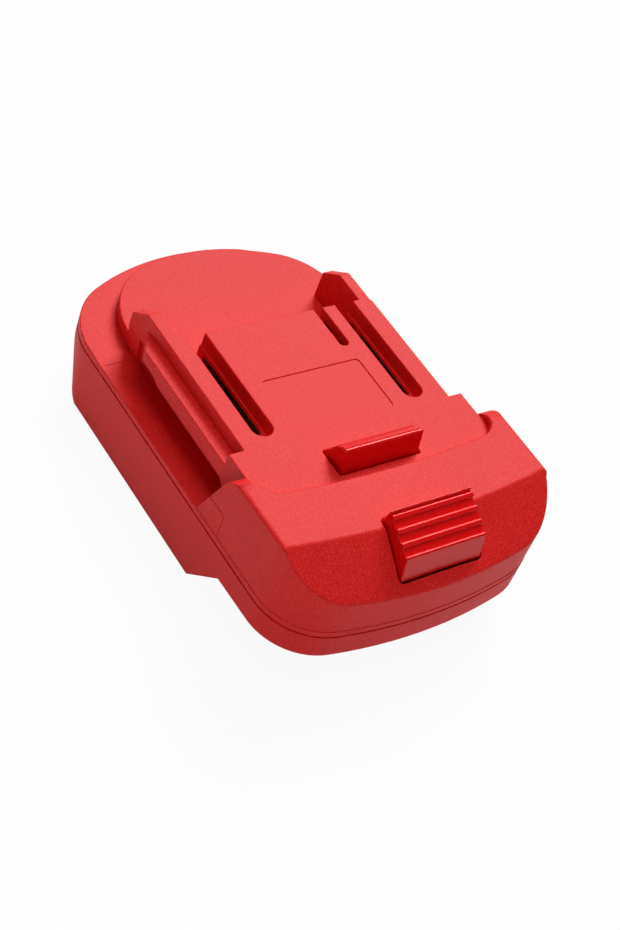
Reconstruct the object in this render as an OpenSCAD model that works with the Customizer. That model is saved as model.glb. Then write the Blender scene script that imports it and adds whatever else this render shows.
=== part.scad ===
// Slide-on battery adapter: tool rails and terminal slots above, battery bay below,
// and a sprung release latch whose hook and ribbed button are one moulding.
// X is across, the nose points to -Y, Z is up, and the resting face lies at Z = 0.

/* [Case outline] */
// Width across the case
body_w = 76; // [74:1:80]
// Length from the nose tip to the rear
body_l = 120; // [118:1:126]
// Wall thickness of both shells
wall = 2.4; // [2.2:0.1:2.6]
// Bow radius of the nose in plan
front_bow_r = 135; // [120:5:180]
// Corner radius of the nose in plan
front_corner_r = 16; // [14:0.5:17]
// Bow radius of the rear in plan
rear_bow_r = 64; // [60:1:75]
// Corner radius of the rear in plan
rear_corner_r = 19; // [17:0.5:21]
// How far the rear wall leans in between the parting plane and the resting face
rear_lean = 5.5; // [4:0.5:6]
// Height of the upright land above the leaning rear wall
lean_land = 2; // [1:0.5:3]
// Depth of the groove along the parting line
seam_inset = 0.25; // [0.2:0.05:0.4]
// Half height of the groove along the parting line
seam_h = 0.25; // [0.2:0.05:0.4]

/* [Heights] */
// Resting face to the parting plane
skirt_h = 17.2; // [16.6:0.2:19]
// Parting plane down to the underside of the nose
nose_drop = 7.4; // [7:0.1:7.8]
// Parting plane up to the side ledge
ledge_h = 1.75; // [1.6:0.05:2]
// Rise of the rear ledge and plateau towards the rear, per unit of length
rear_rise = 0.06; // [0.05:0.002:0.07]
// Parting plane up to the rear plateau, at the mould line
plateau_h = 5.45; // [5.3:0.05:5.8]
// Parting plane up to the flat ceiling below the plateau
cavity_h = 3.8; // [3.7:0.05:3.9]
// Parting plane up to the deck
deck_h = 17.7; // [17.4:0.1:19]
// Deck up to the top of the nose
nose_step = 2.3; // [1.8:0.1:2.6]

/* [Nose] */
// Nose tip to the foot of the leaning rear end of the nose
nose_l = 45; // [43:0.5:46]
// Lean of the nose's rear end, sideways per unit of height
nose_lean = 0.407; // [0.3:0.01:0.45]
// Radius between the leaning rear end and the top of the nose
nose_round_r = 7; // [5:0.5:8]
// Parting plane to the foot of the front slope
slope_h = 10.8; // [10:0.2:11.6]
// Setback of the slope's foot from the nose tip
slope_setback = 0.7; // [0.5:0.1:1.2]
// Rise of the front slope per unit of length
slope_rise = 0.75; // [0.72:0.01:0.78]
// Bow radius of the slope's foot in plan
slope_bow_r = 240; // [220:5:280]
// Side edge rounding along the top of the nose
nose_edge_r = 1.2; // [1:0.1:2]
// Setback of the nose's walls above the flange
nose_inset = 0.12; // [0.1:0.01:0.2]
// Nose tip to the upright mould line on the side of the nose
slide_front = 35; // [34:0.1:36]
// Parting plane to the level mould line on the side of the nose
slide_h = 8.8; // [8.4:0.1:9.2]
// Corner radius between those two lines
slide_r = 1.2; // [0.8:0.1:2]

/* [Deck and rails] */
// Width of the deck between its outer edges
deck_w = 59.2; // [58.6:0.2:60]
// Rear of the case to the rear edge of the deck
rear_l = 39.8; // [39:0.2:41]
// Width of the neck below the rail lips
neck_w = 56; // [55.4:0.2:56.6]
// Width across the rail lips
lip_w = 67; // [66:0.2:68]
// Deck down to the top of the rail lips
lip_drop = 3.7; // [3.4:0.1:4]
// Thickness of the rail lips
lip_h = 4.45; // [4:0.05:4.8]
// Thinning of the lips at the lead-in
lip_step = 1.15; // [0.6:0.05:1.4]
// Length of the thinned lead-in, measured from the rear of the fins
lip_step_l = 20.8; // [18:0.2:24]
// Length of the fins behind the deck
fin_l = 14.8; // [13:0.2:16]
// Thickness of the fins
fin_t = 3.15; // [2.8:0.05:3.6]
// Length of the chamfer on top of the fins
fin_chamfer_l = 5.7; // [4:0.1:6.5]
// Height of the chamfer on top of the fins
fin_chamfer_h = 4.3; // [3:0.1:5]
// Rear of the fins to the start of the lip bevel
bevel_start = 7.4; // [6.5:0.1:8.2]
// Length of the lip bevel
bevel_l = 5.6; // [5:0.1:6.5]
// Length of the leaning foot below the fins
fin_foot_l = 5.2; // [4.8:0.1:6]
// Slant of that foot's rear, from its top to the ledge
fin_foot_slant = 2.4; // [2:0.1:3]
// Depth of the gussets below the shoulders
gusset_h = 2; // [1:0.1:2.5]
// Width across the shoulders in front of the rails
shoulder_w = 67.4; // [66.8:0.2:68]
// Nose tip to the rear of the shoulders
shoulder_end = 44.7; // [43:0.1:46]
// Nose tip to the front edge of the deck recess
recess_front = 28; // [27:0.1:29]
// Width of the deck recess
recess_w = 67.8; // [67.6:0.2:68.4]
// Corner radius of the deck recess
recess_corner_r = 6; // [4:0.5:8]
// Bow radius of the deck recess
recess_bow_r = 250; // [200:10:400]

/* [Plateau] */
// Width of the rear plateau
plateau_w = 56.8; // [56.6:0.1:57.4]
// Gap between the plateau and the rear of the case
plateau_gap = 3.3; // [3:0.1:4]
// Bow radius of the plateau's rear
plateau_bow_r = 52; // [48:1:60]
// Corner radius of the plateau
plateau_corner_r = 20; // [18:0.5:21]
// Rear of the case to the mould line across the side ledges
line_back = 29.6; // [29:0.2:31]
// Distance between that line's end and the rim
line_gap = 1.2; // [1:0.1:1.6]
// Width of the mould lines
line_w = 0.2; // [0.15:0.05:0.3]
// Depth of the mould lines
line_t = 0.15; // [0.1:0.05:0.2]

/* [Terminal slots] */
// Centre of each long slot from the middle
slot_x = 21.75; // [21.5:0.05:21.9]
// Width of the long slots
slot_w = 5.5; // [5.2:0.1:5.6]
// Nose tip to the front end of the long slots
slot_front = 46.9; // [46.6:0.1:48]
// Depth of the shelf in the long slots
slot_shelf = 3.8; // [3.4:0.1:4.2]
// Width of that shelf on each side
shelf_w = 0.45; // [0.4:0.05:0.5]
// Setback of the lower slot's front end
shelf_setback = 3.2; // [2.5:0.1:3.6]
// Depth of the trough walls below the deck's underside
trough_h = 2.6; // [2.4:0.1:2.8]
// Centre of the short slot from the middle
short_slot_x = 13.8; // [13.6:0.1:14]
// Width of the short slot
short_slot_w = 2.6; // [2.4:0.1:2.8]
// Length of the short slot
short_slot_l = 13.2; // [12.6:0.2:13.8]

/* [Label recess] */
// Width of the bare label recess
label_w = 28.2; // [26:0.2:30]
// Length of the label recess
label_l = 16.3; // [15:0.1:18]
// Nose tip to the front of the label recess
label_front = 46; // [45:0.2:47]
// Depth of the label recess
label_t = 0.25; // [0.15:0.05:0.4]
// Corner radius of the label recess
label_r = 1; // [0.5:0.1:2]

/* [Release latch] */
// Travel of the latch
latch_travel = 5.5; // [4.5:0.1:5.8]
// Width of the hook
hook_w = 22.5; // [21:0.1:23]
// Nose tip to the front of the hook's foot
hook_front = 31.6; // [31:0.1:32.4]
// Length of the hook at its foot
hook_l = 6.9; // [6:0.1:7.2]
// Height of the hook above the deck
hook_h = 6.1; // [5.6:0.1:6.2]
// Width of the button
button_w = 22.9; // [22:0.1:23.4]
// Nose tip to the top edge of the button
button_top_y = 14.4; // [14.2:0.1:14.6]
// Nose tip to the ridge below the ribs
button_ridge_y = 4.6; // [4.4:0.1:4.8]
// Height of the button's top edge above the deck
button_top_h = 6.5; // [6.2:0.1:6.8]
// Height of the ridge above the deck
ridge_h = 1; // [0.8:0.1:1.4]
// Number of ribs on the button
rib_count = 3; // [2:1:4]
// Top edge of the button to the middle of the first rib
rib_start = 1.7; // [1.7:0.1:2]
// Width of each rib
rib_w = 1; // [0.8:0.1:1.2]
// Height of the ribs
rib_h = 0.6; // [0.4:0.1:0.8]
// Gap round the button and the hook
latch_gap = 0.45; // [0.4:0.05:0.6]
// Nose tip to the lower edge of the button window
window_front = 2.9; // [2.8:0.05:3.1]
// Corner radius of the button window
window_r = 1.2; // [0.8:0.1:1.6]
// Thickness of the latch plate
latch_t = 3; // [2.6:0.1:3.4]
// Gap above the latch plate at rest
rest_gap = 0.3; // [0.2:0.05:0.4]
// Width across the spring wings
wing_w = 45; // [44:0.5:46]
// Length of the spring wings
wing_l = 9; // [8.5:0.1:10]
// Guide posts from the middle
post_x = 17.5; // [17:0.1:17.8]
// Nose tip to the guide posts
post_y = 20; // [19.5:0.1:20.5]
// Radius of the guide posts
post_r = 1.9; // [1.7:0.05:2]
// Running clearance on the guide posts
post_clear = 0.1; // [0.05:0.01:0.1]
// Width of the shoulders on the posts that stop the latch
stop_w = 0.3; // [0.25:0.05:0.35]
// Radius of the spring coils
coil_r = 3; // [2.8:0.1:3.4]
// Radius of the spring wire
wire_r = 0.35; // [0.3:0.05:0.4]
// Turns in each spring
coil_turns = 9; // [7:1:10]

/* [Battery bay] */
// How far the bay's rails stand out from the side walls
rail_w = 4.5; // [4:0.1:5]
// Height of the bay's rails
rail_h = 3.6; // [3.2:0.1:4]
// Rear of the case to the rear end of the rails
rail_back = 22; // [20:0.5:24]
// Nose tip to the slanted front of the skirt, at the resting face
skirt_front = 40; // [38.5:0.5:41]
// Nose tip to the front of the catch notches in the rails
notch_front = 62; // [60:0.5:64]
// Length of the catch notches
notch_l = 8; // [6:0.5:10]

/* [Terminals] */
// Thickness of the contact sheet
sheet_t = 0.8; // [0.7:0.05:0.9]
// Spacing of the battery blades
blade_pitch = 12; // [11.6:0.1:12.4]
// Thickness of the battery blades
blade_t = 1; // [0.8:0.1:1.1]
// Height of the battery blades
blade_h = 6; // [5:0.1:6.4]
// Length of the battery blades in front of their block
blade_l = 16; // [13:0.5:17]
// Rear of the case to the front of the battery terminal block
block_back = 25; // [24.6:0.1:25.4]
// Length of the battery terminal block
block_l = 11; // [10.6:0.1:12]
// Width of the battery terminal block
block_w = 33; // [32:0.2:35]
// Resting face to the underside of the battery terminal block
block_z = 2.5; // [2:0.1:3]
// Radius of the power leads
lead_r = 1.15; // [1:0.05:1.2]
// Radius of the signal lead
signal_r = 0.8; // [0.7:0.05:0.9]
// Wall of the crimp barrels
crimp_t = 0.55; // [0.5:0.05:0.6]
// Wall of the shrink sleeves
sleeve_t = 0.17; // [0.15:0.01:0.2]
// Depth of the lead trough in the floor
lead_trough = 0.6; // [0.5:0.1:0.8]
// Length of the power clips
clip_l = 18; // [16:0.5:20]
// Height of the power clips
clip_h = 5.2; // [4:0.1:6]
// Length of the signal clip
signal_clip_l = 5.5; // [5:0.1:6]
// Height of the signal clip
signal_clip_h = 4; // [3:0.1:4.5]
// Length of the crimp barrels
barrel_l = 6; // [5.5:0.1:6.2]
// Length of the shrink sleeves
sleeve_l = 7; // [6.5:0.1:7.2]
// Assembly clearance between fitted pieces
fit = 0.05; // [0.03:0.01:0.06]

/* [Screws] */
// Shank radius of the case screws
case_screw_r = 1.45; // [1.3:0.05:1.5]
// Head radius of the case screws
case_head_r = 2.75; // [2.5:0.05:2.8]
// Head height of the case screws
case_head_h = 1.9; // [1.6:0.1:2]
// Shank radius of the small inner screws
small_screw_r = 1; // [0.9:0.05:1.05]
// Head radius of the small inner screws
small_head_r = 1.9; // [1.7:0.05:2]
// Head height of the small inner screws
small_head_h = 1.4; // [1.2:0.1:1.5]
// Length of the nose case screws below their heads
nose_screw_l = 14; // [12:0.5:16]
// Length of the rear case screws below their heads
rear_screw_l = 6.2; // [5.5:0.1:6.4]
// Length of the carrier screws below their heads
carrier_screw_l = 6.5; // [5.5:0.5:8]
// Length of the block screws below their heads
block_screw_l = 10; // [9:0.5:10.5]
// Nose case screws from the middle
nose_screw_x = 29; // [28:0.5:29.5]
// Nose tip to the nose case screws
nose_screw_y = 16; // [15:0.5:17]
// Rear case screws from the middle
rear_screw_x = 23; // [22.5:0.1:23.5]
// Rear of the case to the rear case screws
rear_screw_back = 18; // [17.5:0.1:18.5]

/* [Hidden] */
$fn = 64;
// Overshoot of a cut past the face it opens
over = 1;
// Farthest that an outline's chords may stray from its arcs
arc_tol = 0.02;

// Plan positions, measured from the nose tip
tip = -body_l / 2;
tail = body_l / 2;
lean_y = tip + nose_l;
deck_y = tail - rear_l;
fin_y = deck_y + fin_l;
bevel_y = fin_y - bevel_start;
fin_foot_y = fin_y - fin_foot_l;
fin_in = deck_w / 2 - fin_t;
line_y = tail - line_back;
short_y = deck_y - short_slot_l;
rail_y = tail - rail_back;
recess_y = tip + recess_front;
hook_y = tip + hook_front;
button_rear_y = tip + button_top_y + 0.8;
window_rear_y = button_rear_y + latch_gap;

// Heights
ledge_z = skirt_h + ledge_h;
cavity_z = skirt_h + cavity_h;
deck_z = skirt_h + deck_h;
nose_z = deck_z + nose_step;
roof_z = deck_z - wall;
trough_z = roof_z - trough_h;
shelf_z = deck_z - slot_shelf;
lip_top_z = deck_z - lip_drop;
lip_z = lip_top_z - lip_h;
bay_z = skirt_h - wall;
keel_z = skirt_h - nose_drop;
tray_z = keel_z + wall;
tray_y = tip + skirt_front - keel_z;

// Latch heights
latch_top_z = roof_z - rest_gap;
latch_z = latch_top_z - latch_t;
hook_top_z = deck_z + hook_h;
button_top_z = deck_z + button_top_h;
ridge_z = deck_z + ridge_h;
stop_z = latch_z - latch_travel - rest_gap;

// Widths inside the deck
deck_bay_w = neck_w - 2 * wall;
trough_in = slot_x - slot_w / 2 - 2;

// Carrier below the deck slots
carrier_gap = 2.2;
carrier_t = 2;
carrier_z = skirt_h + carrier_gap;
seat_z = carrier_z + carrier_t;
carrier_front = tip + slot_front - wall;
carrier_back = 4.9;
carrier_rear = deck_y - wall - carrier_back;
carrier_w = deck_bay_w - 0.8;
tower_w = slot_w + 2.2;
tower_z = trough_z - 0.4;
signal_wall = 0.9;
signal_tower_z = roof_z - 2;
signal_w = short_slot_w - 0.2;
lead_x = 8.5;
lead_drop = 1.7;
lead_notch_w = 2 * (lead_x + lead_r + fit) + 1.4;
lead_notch_l = 8.4;
lead_notch_y = carrier_rear - lead_notch_l;
carrier_boss_r = 3.2;
carrier_screw_front = 5.5;
carrier_screw_back = 4.5;
carrier_screw = [
    [-carrier_boss_r, carrier_front + carrier_screw_front],
    [carrier_boss_r, lead_notch_y - carrier_screw_back]
];

// Crimp barrels and sleeves
bore_r = lead_r + fit;
barrel_r = bore_r + crimp_t;
signal_bore_r = signal_r + fit;
signal_barrel_r = signal_bore_r + crimp_t - 0.05;
clip_front = carrier_front + wall + fit;
strap_l = 4;
contact_axis_z = seat_z + fit + sheet_t + barrel_r - 0.35;
contact_barrel_y = clip_front + strap_l;
signal_axis_z = seat_z + fit + signal_barrel_r;
signal_barrel_y = short_y - 1.5;

// Battery blades and their block
block_y = tail - block_back;
blade_z = block_z + 2.5;
riser_l = 4;
riser_y = block_y + 6;
tab_z = skirt_h + 2 * fit;
blade_barrel_y = block_y - 4;
blade_sleeve_y = blade_barrel_y + 3 - sleeve_l;
blade_axis_z = (skirt_h - lead_trough + cavity_z) / 2;
blade_signal_axis_z = tab_z + signal_barrel_r + 0.4;
block_screw_x = blade_pitch / 2;
block_screw_y = block_y + 8;
block_boss_h = cavity_h - 0.4;

// Case screws
nose_screw = [nose_screw_x, tip + nose_screw_y];
rear_screw = [rear_screw_x, tail - rear_screw_back];
nose_boss_r = 4;
rear_boss_r = 3.2;
head_clear = 0.2;
rear_head_z = bay_z - 1.4;
rear_seat_z = rear_head_z + case_head_h;
nose_seat_z = keel_z + head_clear + case_head_h;

// Points of an arc from angle a0 to a1, with its first and last points kept or left out
function arc(c, r, a0, a1, skip = 0) =
    let (n = 2 * max(2, ceil(abs(a1 - a0) / (4 * acos(1 - arc_tol / r)))))
    [for (i = [skip : n - skip]) c + r * [cos(a0 + (a1 - a0) * i / n), sin(a0 + (a1 - a0) * i / n)]];

// A bowed end that points to +Y: corner arc, bow, corner arc, all tangent
function bowed_end(half_w, end_y, bow_r, corner_r) =
    let (
        cx = half_w - corner_r,
        bow_y = end_y - bow_r,
        cy = bow_y + sqrt(pow(bow_r - corner_r, 2) - cx * cx),
        turn = atan2(cy - bow_y, cx)
    )
    concat(
        arc([cx, cy], corner_r, 0, turn),
        arc([0, bow_y], bow_r, turn, 180 - turn, 1),
        arc([-cx, cy], corner_r, 180 - turn, 180)
    );

function mirrored_y(points) = [for (i = [len(points) - 1 : -1 : 0]) [points[i].x, -points[i].y]];

function body_outline(inset = 0) = concat(
    bowed_end(body_w / 2 - inset, tail - inset, rear_bow_r - inset, rear_corner_r - inset),
    mirrored_y(bowed_end(body_w / 2 - inset, -tip - inset, front_bow_r - inset, front_corner_r - inset))
);

function plateau_outline(inset = 0) = concat(
    bowed_end(
        plateau_w / 2 - inset, tail - plateau_gap - inset,
        plateau_bow_r - inset, plateau_corner_r - inset
    ),
    [
        [-plateau_w / 2 + inset, fin_foot_y], [-neck_w / 2 + inset, fin_foot_y],
        [-neck_w / 2 + inset, deck_y - wall - over], [neck_w / 2 - inset, deck_y - wall - over],
        [neck_w / 2 - inset, fin_foot_y], [plateau_w / 2 - inset, fin_foot_y]
    ]
);

// Height of the tilted plateau at a place along the case
function plateau_top(y) = skirt_h + plateau_h + rear_rise * (y - line_y);

// A slot that is open at its rear and round at its front
function slot_outline(x, w, front_y, rear_y) = concat(
    arc([x, front_y + w / 2], w / 2, 180, 360),
    [[x + w / 2, rear_y], [x - w / 2, rear_y]]
);

function rounded_rect(half_w, y0, y1, r) = concat(
    arc([half_w - r, y0 + r], r, 270, 360), arc([half_w - r, y1 - r], r, 0, 90),
    arc([r - half_w, y1 - r], r, 90, 180), arc([r - half_w, y0 + r], r, 180, 270)
);

// Extrudes a plan outline between two heights
module prism(points, z0, z1) {
    translate([0, 0, z0]) linear_extrude(z1 - z0) polygon(points);
}

// Extrudes a side view, given as Y and Z, between two X positions
module side_prism(points, x0, x1) {
    translate([x0, 0, 0]) rotate([90, 0, 90]) linear_extrude(x1 - x0) polygon(points);
}

// Extrudes an end view, given as X and Z, between two Y positions
module end_prism(points, y0, y1) {
    translate([0, y1, 0]) rotate([90, 0, 0]) linear_extrude(y1 - y0) polygon(points);
}

module block(lo, hi) {
    translate(lo) cube(hi - lo);
}

module post(p, r, z0, z1) {
    translate([p.x, p.y, z0]) cylinder(r = r, h = z1 - z0);
}

// A round bar along Y
module bar(x, z, r, y0, y1) {
    translate([x, y1, z]) rotate([90, 0, 0]) cylinder(r = r, h = y1 - y0);
}

module both_sides() {
    children();
    mirror([1, 0, 0]) children();
}

// Everything below the bowed front slope, lowered by drop
module below_slope(drop = 0) {
    low_z = skirt_h - wall - over;
    high_z = nose_z + wall;
    foot_z = skirt_h + slope_h - drop;
    translate([0, tip + slope_setback + slope_bow_r, low_z])
        cylinder(
            r1 = slope_bow_r + (foot_z - low_z) / slope_rise,
            r2 = slope_bow_r - (high_z - foot_z) / slope_rise,
            h = high_z - low_z, $fn = 360
        );
}

// Side view of the nose, with its leaning rear end
function nose_side() =
    let (
        a = atan(nose_lean),
        d = lean_y * cos(a) + skirt_h * sin(a),
        cz = nose_z - nose_round_r,
        cy = (d - nose_round_r - cz * sin(a)) / cos(a)
    )
    concat(
        [[tip - over, skirt_h + seam_h], [lean_y - nose_lean * seam_h, skirt_h + seam_h]],
        arc([cy, cz], nose_round_r, a, 90), [[tip - over, nose_z]]
    );

// End view of the nose, with rounded upper side edges
function nose_end() =
    let (half_w = body_w / 2 - nose_inset)
    concat(
        [[-half_w, skirt_h], [half_w, skirt_h]],
        arc([half_w - nose_edge_r, nose_z - nose_edge_r], nose_edge_r, 0, 90),
        arc([nose_edge_r - half_w, nose_z - nose_edge_r], nose_edge_r, 90, 180)
    );

// Side view of the mould line that runs along the nose and down to the ledge
function slide_line() =
    let (
        y = tip + slide_front,
        z = skirt_h + slide_h,
        c = [y + slide_r, z - slide_r]
    )
    concat(
        [[lean_y, z]], arc(c, slide_r, 90, 180), [[y, skirt_h], [y + line_w, skirt_h]],
        arc(c, slide_r - line_w, 180, 90), [[lean_y, z - line_w]]
    );

module nose() {
    difference() {
        intersection() {
            prism(body_outline(nose_inset), skirt_h + seam_h, nose_z);
            side_prism(nose_side(), -body_w, body_w);
            end_prism(nose_end(), tip - over, lean_y + over);
            below_slope();
        }
        prism(
            concat(
                mirrored_y(bowed_end(recess_w / 2, -recess_y, recess_bow_r, recess_corner_r)),
                [[recess_w / 2, lean_y + over], [-recess_w / 2, lean_y + over]]
            ),
            deck_z, nose_z + over
        );
        both_sides() side_prism(slide_line(), body_w / 2 - nose_inset - line_t, body_w / 2);
    }
}

// End view of the deck and its rails
function rail_end_view() =
    let (half = [
        [neck_w / 2, ledge_z - wall / 2], [neck_w / 2, lip_z], [lip_w / 2, lip_z],
        [lip_w / 2, lip_top_z], [deck_w / 2, lip_top_z], [deck_w / 2, deck_z]
    ])
    concat(half, [for (i = [len(half) - 1 : -1 : 0]) [-half[i].x, half[i].y]]);

module fin_cuts() {
    rear_y = fin_y + over;
    side_prism(
        [
            [deck_y, plateau_top(deck_y)], [rear_y, plateau_top(rear_y)],
            [rear_y, deck_z + over], [deck_y, deck_z + over]
        ],
        -fin_in, fin_in
    );
    fall = fin_chamfer_h / fin_chamfer_l;
    side_prism(
        [
            [fin_y - fin_chamfer_l - over, deck_z + fall * over], [rear_y, deck_z + fall * over],
            [rear_y, deck_z - fin_chamfer_h - fall * over]
        ],
        -body_w / 2, body_w / 2
    );
    bevel = bevel_l / (lip_w / 2 - deck_w / 2);
    step_y = fin_y - lip_step_l;
    both_sides() {
        prism(
            [
                [deck_w / 2, bevel_y],
                [lip_w / 2 + over, bevel_y - bevel * (lip_w / 2 + over - deck_w / 2)],
                [lip_w / 2 + over, rear_y], [deck_w / 2, rear_y]
            ],
            lip_z - over, deck_z + over
        );
        side_prism(
            [
                [step_y, lip_z], [step_y + 2 * lip_step, lip_z + lip_step],
                [rear_y, lip_z + lip_step], [rear_y, lip_z - over], [step_y, lip_z - over]
            ],
            deck_w / 2, lip_w / 2 + over
        );
    }
}

// The leaning foot between a fin and the ledge
module fin_foot() {
    low_z = ledge_z - wall / 2;
    high_z = lip_z + lip_step;
    intersection() {
        end_prism(
            [
                [fin_in, low_z], [plateau_w / 2, low_z], [deck_w / 2, high_z],
                [deck_w / 2, high_z + over], [fin_in, high_z + over]
            ],
            fin_foot_y, fin_y
        );
        side_prism(
            [
                [fin_foot_y, low_z], [fin_y - fin_foot_slant, low_z], [fin_y, (ledge_z + high_z) / 2],
                [fin_y, high_z + over], [fin_foot_y, high_z + over]
            ],
            0, body_w
        );
    }
}

module deck_and_rails() {
    difference() {
        end_prism(rail_end_view(), recess_y, fin_y);
        fin_cuts();
    }
    both_sides() fin_foot();
    shoulder_y = tip + shoulder_end;
    side_prism(
        [
            [recess_y, deck_z], [recess_y, lip_z - gusset_h], [shoulder_y - 1.2 * gusset_h, lip_z - gusset_h],
            [shoulder_y, lip_z], [shoulder_y, deck_z]
        ],
        -shoulder_w / 2, shoulder_w / 2
    );
}

module upper_hollow() {
    prism(plateau_outline(wall), skirt_h - over, cavity_z);
    block(
        [-deck_bay_w / 2, recess_y, skirt_h - over],
        [deck_bay_w / 2, deck_y - wall, trough_z]
    );
    block([-trough_in, recess_y, skirt_h - over], [trough_in, deck_y - wall, roof_z]);
    intersection() {
        prism(body_outline(wall), skirt_h - over, roof_z);
        block([-body_w, tip, skirt_h - over], [body_w, recess_y + wall, roof_z]);
        below_slope(wall * sqrt(1 + slope_rise * slope_rise));
    }
}

module upper_bosses() {
    both_sides() {
        post(nose_screw, nose_boss_r, skirt_h, roof_z + over / 2);
        post(rear_screw, rear_boss_r, skirt_h, cavity_z + over / 2);
    }
    for (p = carrier_screw) post(p, carrier_boss_r, seat_z, roof_z + over / 2);
}

module slot_cuts() {
    rear_y = deck_y + over;
    sill_h = 2.2;
    low_z = plateau_top(deck_y) + sill_h;
    both_sides() {
        prism(slot_outline(slot_x, slot_w, tip + slot_front, rear_y), shelf_z, deck_z + over);
        prism(
            slot_outline(slot_x, slot_w - 2 * shelf_w, tip + slot_front + shelf_setback, rear_y),
            low_z, shelf_z + over
        );
    }
    prism(slot_outline(short_slot_x, short_slot_w, short_y, rear_y), low_z, deck_z + over);
}

module upper_openings() {
    slot_cuts();
    prism(
        rounded_rect(hook_w / 2 + latch_gap, hook_y - latch_gap, hook_y + hook_l + latch_gap, window_r / 2),
        roof_z - over, nose_z + over
    );
    prism(
        rounded_rect(button_w / 2 + latch_gap, tip + window_front, window_rear_y, window_r),
        skirt_h + nose_drop, nose_z + over
    );
    prism(
        rounded_rect(label_w / 2, tip + label_front, tip + label_front + label_l, label_r),
        deck_z - label_t, deck_z + over
    );
    both_sides() {
        post(nose_screw, case_screw_r + fit, skirt_h - over, nose_seat_z + nose_screw_l + over);
        post(rear_screw, case_screw_r + fit, skirt_h - over, rear_seat_z + rear_screw_l + over / 2);
        block(
            [deck_w / 2, line_y - line_w, ledge_z - line_t],
            [body_w / 2 - line_gap, line_y, ledge_z + over]
        );
    }
    for (p = carrier_screw) post(p, small_screw_r + fit, seat_z - over, carrier_z + carrier_screw_l + over);
}

// Everything below a top that rises towards the rear, given by its height at the mould line
module below_rise(front_y, line_z) {
    rear_y = tail + over;
    side_prism(
        [
            [front_y, skirt_h], [rear_y, skirt_h],
            [rear_y, line_z + rear_rise * (rear_y - line_y)],
            [front_y, line_z + rear_rise * (front_y - line_y)]
        ],
        -body_w, body_w
    );
}

// The flange at the parting plane, which rises gently behind the mould line
module flange() {
    prism(body_outline(seam_inset), skirt_h, skirt_h + 2 * seam_h);
    prism(body_outline(), skirt_h + seam_h, ledge_z);
    intersection() {
        prism(body_outline(), skirt_h + seam_h, plateau_top(tail));
        below_rise(line_y, ledge_z);
    }
}

// The rear plateau, which rises with the ledge round it
module plateau() {
    intersection() {
        prism(plateau_outline(), ledge_z - wall / 2, plateau_top(tail));
        below_rise(lean_y, skirt_h + plateau_h);
    }
}

module upper_shell() {
    color("#e0403c") difference() {
        union() {
            difference() {
                union() {
                    flange();
                    plateau();
                    deck_and_rails();
                    nose();
                }
                upper_hollow();
            }
            upper_bosses();
        }
        upper_openings();
    }
}

// The case outline drawn along the lean of the rear wall
module leaning_outline() {
    a = atan(rear_lean / skirt_h);
    reach = 2 * skirt_h;
    translate([0, 0, skirt_h]) rotate([-a, 0, 0]) translate([0, 0, -reach])
        linear_extrude(2 * reach)
            polygon([for (p = body_outline(-lean_land * tan(a))) [p.x, p.y * cos(a)]]);
}

module battery_bay() {
    half_w = body_w / 2 - wall;
    rear_y = tail - rear_lean - wall;
    rear = bowed_end(half_w, rear_y, rear_bow_r - wall - rear_lean, rear_corner_r - wall);
    front_y = tray_y + wall;
    prism(concat(rear, [[-half_w, front_y], [half_w, front_y]]), rail_h, bay_z);
    block([rail_w - half_w, tip, -over], [half_w - rail_w, rail_y, rail_h + over / 2]);
    intersection() {
        prism(concat(rear, [[-half_w, front_y], [half_w, front_y]]), -over, rail_h + over / 2);
        block([-body_w, rail_y, -over], [body_w, tail, rail_h + over]);
    }
    both_sides() block(
        [half_w - rail_w - over, tip + notch_front, -over],
        [half_w, tip + notch_front + notch_l, rail_h + over / 2]
    );
}

module lower_body() {
    difference() {
        intersection() {
            union() {
                prism(body_outline(), 0, skirt_h - seam_h);
                prism(body_outline(seam_inset), skirt_h - 2 * seam_h, skirt_h);
            }
            leaning_outline();
        }
        side_prism(
            [
                [tip - over, -over], [tip + skirt_front + over, -over],
                [tray_y, keel_z], [tip - over, keel_z]
            ],
            -body_w, body_w
        );
        intersection() {
            prism(body_outline(wall), tray_z, skirt_h + over);
            block([-body_w, tip, tray_z], [body_w, tray_y, skirt_h + over]);
        }
        difference() {
            battery_bay();
            block([-body_w, tip, keel_z], [body_w, tray_y + wall, skirt_h]);
        }
    }
}

module lower_bosses() {
    both_sides() {
        post([post_x, tip + post_y], post_r, tray_z - over / 2, latch_top_z - 0.4);
        post([post_x, tip + post_y], post_r + stop_w, tray_z - over / 2, stop_z);
        post(nose_screw, nose_boss_r, tray_z - over / 2, skirt_h);
        post(rear_screw, case_head_r + head_clear + wall / 2, rear_head_z, bay_z + over);
        post([block_screw_x, block_screw_y], 2.6, bay_z + over, skirt_h + block_boss_h);
    }
}

module lower_holes() {
    both_sides() {
        post(nose_screw, case_screw_r + head_clear, keel_z - over, skirt_h + over);
        post(nose_screw, case_head_r + head_clear, keel_z - over, nose_seat_z);
        post(rear_screw, case_screw_r + head_clear, rear_head_z - over, skirt_h + over);
        post(rear_screw, case_head_r + head_clear, rear_head_z - over, rear_seat_z);
        post(
            [block_screw_x, block_screw_y], small_screw_r + fit,
            bay_z - over, skirt_h + block_boss_h + over
        );
    }
    slack = 0.35;
    for (i = [-1 : 1])
        block(
            [i * blade_pitch - blade_t / 2 - slack, riser_y - slack, bay_z - over],
            [i * blade_pitch + blade_t / 2 + slack, riser_y + riser_l + slack, skirt_h + over]
        );
    half_w = barrel_r + sleeve_t + slack;
    block(
        [-blade_pitch - half_w, blade_sleeve_y - slack, skirt_h - lead_trough],
        [half_w, blade_barrel_y + barrel_l + slack, skirt_h + over]
    );
}

module lower_shell() {
    color("#b83c36") difference() {
        union() {
            lower_body();
            lower_bosses();
        }
        lower_holes();
    }
}

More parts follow.
